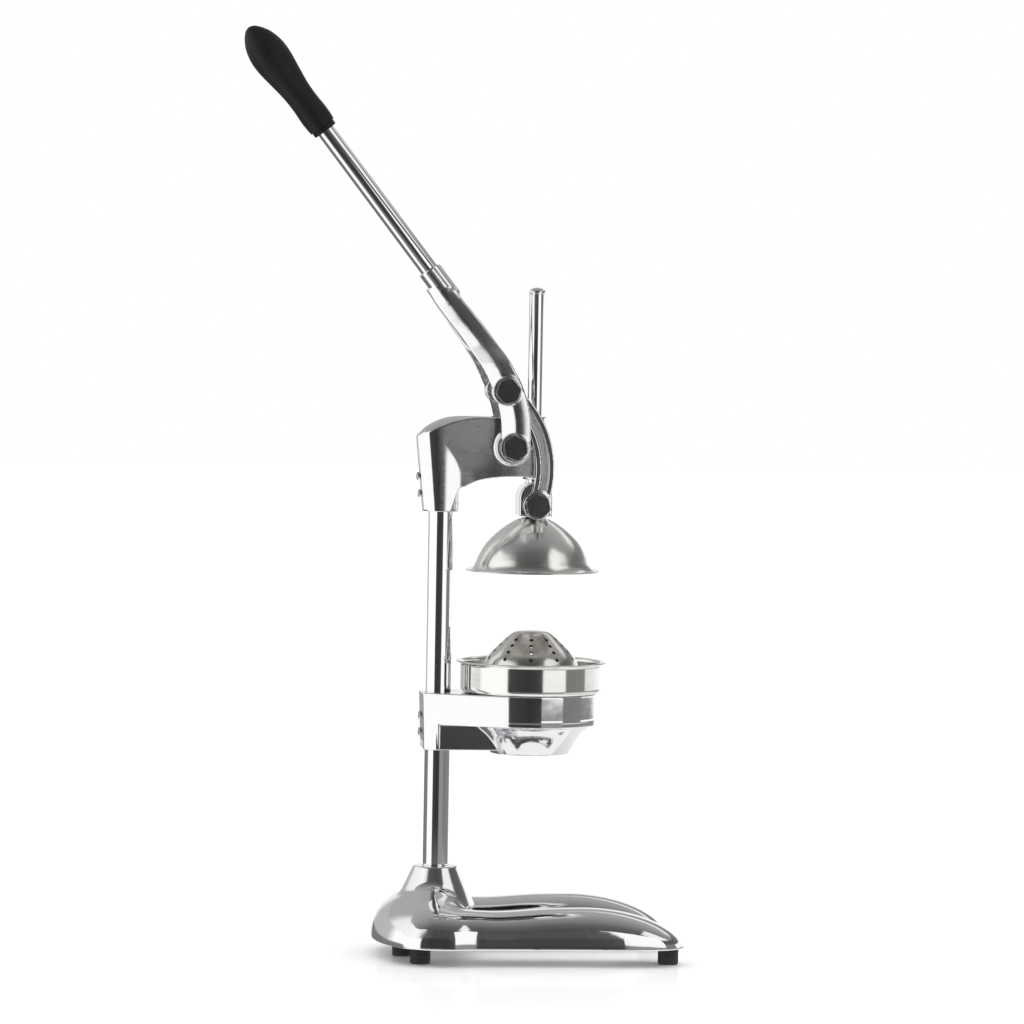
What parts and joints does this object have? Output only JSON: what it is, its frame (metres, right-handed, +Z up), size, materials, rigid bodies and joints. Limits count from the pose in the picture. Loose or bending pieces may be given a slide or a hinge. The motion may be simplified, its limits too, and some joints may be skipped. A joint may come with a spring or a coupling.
{
  "type": "citrus press juicer",
  "caption": "Lever-operated countertop citrus press: a cast horseshoe base, a steel column, a forked lever with links driving a bell down onto a strainer cone in a ring-held sieve.",
  "frame": {"origin": "on the table, under the centre of the whole press's bounding box", "axes": "+X to the front, where the glass stands and the lever is pulled; +Y to the left; +Z up"},
  "size_m": [0.3502, 0.171, 0.7266],
  "materials": {
    "polished_casting": "hand-polished and chrome-bright",
    "chrome_tube": "mirror chrome plate",
    "stainless_sheet": "spun stainless sheet with a fine circular brush",
    "small_steel": "zinc-bright small fasteners",
    "bolt_steel": "dark polished hex bolts and nuts",
    "bush_bronze": "sintered bronze",
    "foot_rubber": "matt black rubber",
    "grip_plastic": "satin black moulded plastic"
  },
  "bodies": {
    "frame": {"base": "polished_casting", "foot_rear_left": "foot_rubber", "foot_rear_right": "foot_rubber", "foot_rear_centre": "foot_rubber", "foot_front_left": "foot_rubber", "foot_front_right": "foot_rubber", "foot_screw_rear_left": "small_steel", "foot_screw_rear_right": "small_steel", "foot_screw_rear_centre": "small_steel", "foot_screw_front_left": "small_steel", "foot_screw_front_right": "small_steel", "column": "chrome_tube", "column_plug": "small_steel", "base_washer": "small_steel", "base_bolt": "bolt_steel", "holder": "polished_casting", "holder_screw_1": "small_steel", "holder_screw_2": "small_steel", "head": "polished_casting", "head_screw_1": "small_steel", "head_screw_2": "small_steel", "guide_bush_upper": "bush_bronze", "guide_bush_lower": "bush_bronze", "pivot_bolt": "bolt_steel", "pivot_nut": "bolt_steel"},
    "lever": {"lever_fork": "polished_casting", "handle_rod": "chrome_tube", "grip": "grip_plastic", "grip_collar": "grip_plastic", "upper_bolt_left": "bolt_steel", "upper_bolt_right": "bolt_steel", "upper_nut_left": "bolt_steel", "upper_nut_right": "bolt_steel"},
    "links": {"link_left": "polished_casting", "link_right": "polished_casting", "lower_bolt_left": "bolt_steel", "lower_bolt_right": "bolt_steel"},
    "ram": {"ram_rod": "chrome_tube", "rod_cap": "chrome_tube", "ram_block": "polished_casting", "bell": "stainless_sheet", "bell_nut": "bolt_steel"},
    "sieve": {"sieve_cup": "stainless_sheet", "strainer_cone": "stainless_sheet", "drain_ring": "stainless_sheet"}
  },
  "joints": [
    {"name": "lever_swing", "type": "hinge", "parent": "frame", "child": "lever", "pos_m": [0.0378, 0, 0.4016], "axis": [0, 1, 0], "range_deg": [0, 140]},
    {"name": "link_swing", "type": "hinge", "parent": "lever", "child": "links", "pos_m": [0.0315, 0, 0.4457], "axis": [0, 1, 0], "range_deg": [-115.98, 0]},
    {"name": "ram_slide", "type": "slide", "parent": "frame", "child": "ram", "axis": [0, 0, -1], "range_m": [0, 0.07661]},
    {"name": "sieve_turn", "type": "hinge", "parent": "frame", "child": "sieve", "pos_m": [0.0574, 0, 0.2083], "axis": [0, 0, 1], "continuous": true}
  ],
  "couplings": [
    {"joint": "link_swing", "follows": "lever_swing", "ratio": -0.82488},
    {"joint": "ram_slide", "follows": "lever_swing", "m_per_rad": 0.031313}
  ]
}
